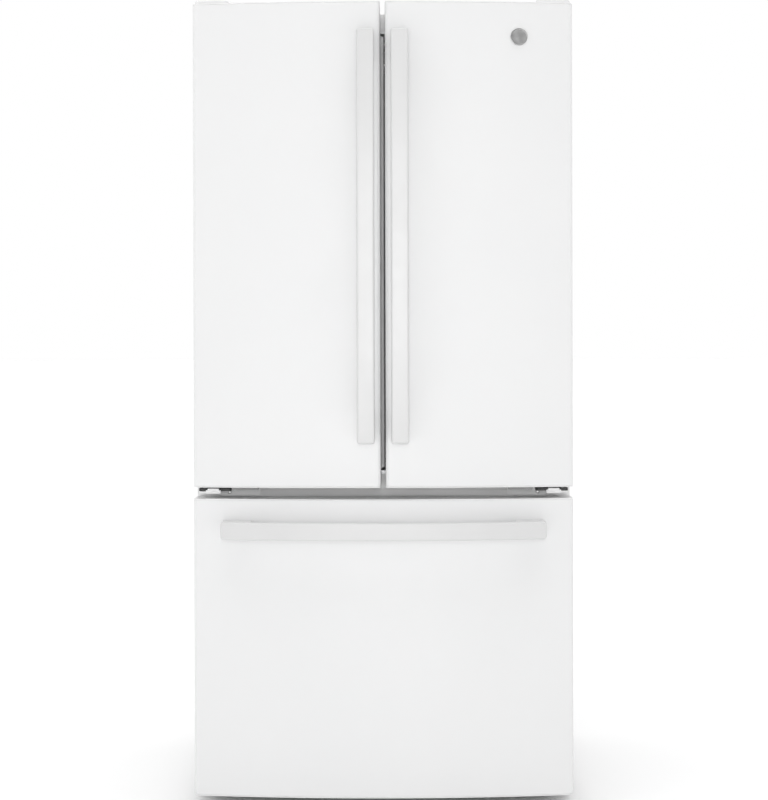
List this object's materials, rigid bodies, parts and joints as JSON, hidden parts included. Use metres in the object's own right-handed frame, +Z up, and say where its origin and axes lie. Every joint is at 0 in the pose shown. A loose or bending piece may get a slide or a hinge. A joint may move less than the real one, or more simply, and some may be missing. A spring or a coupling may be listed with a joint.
{
  "type": "french door refrigerator",
  "caption": "Tall white refrigerator with two bowed upper doors, a bowed bottom freezer drawer, bar handles and a fitted interior",
  "frame": {"origin": "centre of the footprint, on the floor", "axes": "+Z up, doors and handles face -Y, +X to the right as seen from the front"},
  "size_m": [0.832, 0.788, 1.775],
  "materials": {
    "case_enamel": "fine textured white enamel",
    "door_enamel": "smooth gloss white enamel",
    "cap_plastic": "satin white moulding",
    "handle_finish": "gloss white",
    "liner_plastic": "thermoformed white, soft gloss",
    "white_plastic": "satin white moulding",
    "white_metal": "satin white enamel",
    "grey_plastic": "fine grained grey moulding",
    "black_plastic": "satin black moulding",
    "flap_plastic": "satin light grey moulding",
    "seal_rubber": "soft matt vinyl",
    "foam": "cast foam",
    "plated_steel": "zinc plated sheet",
    "bare_aluminium": "mill finish",
    "black_enamel": "satin black enamel",
    "white_wire": "coated white wire",
    "shelf_glass": "polished",
    "clear_plastic": "clear moulding",
    "badge_metal": "satin disc with a polished rim"
  },
  "bodies": {
    "cabinet": {"outer_case": "case_enamel", "back_panel": "plated_steel", "cabinet_foam": "foam", "fresh_food_liner": "liner_plastic", "freezer_liner": "liner_plastic", "center_rail": "case_enamel", "base_frame": "plated_steel", "toe_grille": "grey_plastic", "machine_cover": "plated_steel", "compressor": "black_enamel", "condenser_coil": "black_enamel", "condenser_fan_motor": "grey_plastic", "drain_pan": "grey_plastic", "evaporator": "bare_aluminium", "evaporator_cover": "liner_plastic", "air_duct": "liner_plastic", "control_panel": "grey_plastic", "light_lens": "clear_plastic", "shelf_tracks": "plated_steel", "shelf_glass": "shelf_glass", "shelf_frames": "white_plastic", "crisper_cover": "white_plastic", "top_hinges": "plated_steel", "hinge_covers": "cap_plastic", "center_hinges": "white_metal", "slide_outer_rails": "plated_steel"},
    "left_door": {"left_door_skin": "door_enamel", "left_door_end_caps": "cap_plastic", "left_door_liner": "liner_plastic", "left_door_gasket": "seal_rubber", "left_door_handle": "handle_finish", "left_door_bins": "clear_plastic"},
    "right_door": {"right_door_skin": "door_enamel", "right_door_end_caps": "cap_plastic", "right_door_liner": "liner_plastic", "right_door_gasket": "seal_rubber", "right_door_handle": "handle_finish", "right_door_bins": "clear_plastic", "emblem": "badge_metal"},
    "mullion_flap": {"mullion_flap": "flap_plastic"},
    "dairy_lid": {"dairy_lid": "clear_plastic"},
    "freezer_drawer": {"drawer_skin": "door_enamel", "drawer_end_caps": "cap_plastic", "drawer_liner": "liner_plastic", "drawer_gasket": "seal_rubber", "drawer_handle": "handle_finish", "drawer_rails": "plated_steel", "lower_basket": "white_wire"},
    "middle_rails": {"slide_middle_rails": "plated_steel"},
    "upper_basket": {"upper_basket": "white_wire"},
    "left_crisper": {"left_crisper": "clear_plastic"},
    "right_crisper": {"right_crisper": "clear_plastic"},
    "condenser_fan": {"condenser_fan": "white_plastic"},
    "evaporator_fan": {"evaporator_fan": "white_plastic"},
    "left_leg": {"left_leveling_leg": "plated_steel"},
    "right_leg": {"right_leveling_leg": "plated_steel"},
    "left_roller": {"left_rear_roller": "black_plastic"},
    "right_roller": {"right_rear_roller": "black_plastic"},
    "fridge_temp_button": {"fridge_temp_button": "white_plastic"},
    "freezer_temp_button": {"freezer_temp_button": "white_plastic"}
  },
  "joints": [
    {"name": "left_door_hinge", "type": "hinge", "parent": "cabinet", "child": "left_door", "pos_m": [-0.396, -0.261, 0], "axis": [0, 0, -1], "range_deg": [0, 115]},
    {"name": "right_door_hinge", "type": "hinge", "parent": "cabinet", "child": "right_door", "pos_m": [0.396, -0.261, 0], "axis": [0, 0, 1], "range_deg": [0, 115]},
    {"name": "mullion_flap_hinge", "type": "hinge", "parent": "left_door", "child": "mullion_flap", "pos_m": [-0.062, -0.22, 0], "axis": [0, 0, 1], "range_deg": [0, 81]},
    {"name": "dairy_lid_hinge", "type": "hinge", "parent": "left_door", "child": "dairy_lid", "pos_m": [0, -0.232, 1.5595], "axis": [1, 0, 0], "range_deg": [0, 85]},
    {"name": "freezer_drawer_slide", "type": "slide", "parent": "cabinet", "child": "freezer_drawer", "axis": [0, -1, 0], "range_m": [0, 0.42]},
    {"name": "middle_rails_slide", "type": "slide", "parent": "cabinet", "child": "middle_rails", "axis": [0, -1, 0], "range_m": [0, 0.21]},
    {"name": "upper_basket_slide", "type": "slide", "parent": "cabinet", "child": "upper_basket", "axis": [0, -1, 0], "range_m": [0, 0.052]},
    {"name": "left_crisper_slide", "type": "slide", "parent": "cabinet", "child": "left_crisper", "axis": [0, -1, 0], "range_m": [0, 0.075]},
    {"name": "right_crisper_slide", "type": "slide", "parent": "cabinet", "child": "right_crisper", "axis": [0, -1, 0], "range_m": [0, 0.075]},
    {"name": "condenser_fan_spin", "type": "hinge", "parent": "cabinet", "child": "condenser_fan", "pos_m": [-0.026, 0.276, 0.129], "axis": [1, 0, 0], "continuous": true},
    {"name": "evaporator_fan_spin", "type": "hinge", "parent": "cabinet", "child": "evaporator_fan", "pos_m": [0, 0.252, 0.594], "axis": [0, 1, 0], "continuous": true},
    {"name": "left_leg_turn", "type": "hinge", "parent": "cabinet", "child": "left_leg", "pos_m": [-0.364, -0.183, 0], "axis": [0, 0, 1], "continuous": true},
    {"name": "right_leg_turn", "type": "hinge", "parent": "cabinet", "child": "right_leg", "pos_m": [0.364, -0.183, 0], "axis": [0, 0, 1], "continuous": true},
    {"name": "left_roller_spin", "type": "hinge", "parent": "cabinet", "child": "left_roller", "pos_m": [-0.356, 0.342, 0.022], "axis": [1, 0, 0], "continuous": true},
    {"name": "right_roller_spin", "type": "hinge", "parent": "cabinet", "child": "right_roller", "pos_m": [0.356, 0.342, 0.022], "axis": [1, 0, 0], "continuous": true},
    {"name": "fridge_temp_press", "type": "slide", "parent": "cabinet", "child": "fridge_temp_button", "axis": [0, 1, 0], "range_m": [0, 0.001], "stiffness_N_per_m": 400},
    {"name": "freezer_temp_press", "type": "slide", "parent": "cabinet", "child": "freezer_temp_button", "axis": [0, 1, 0], "range_m": [0, 0.001], "stiffness_N_per_m": 400}
  ],
  "couplings": [
    {"joint": "mullion_flap_hinge", "follows": "left_door_hinge", "ratio": 0.7},
    {"joint": "middle_rails_slide", "follows": "freezer_drawer_slide", "ratio": 0.5}
  ]
}
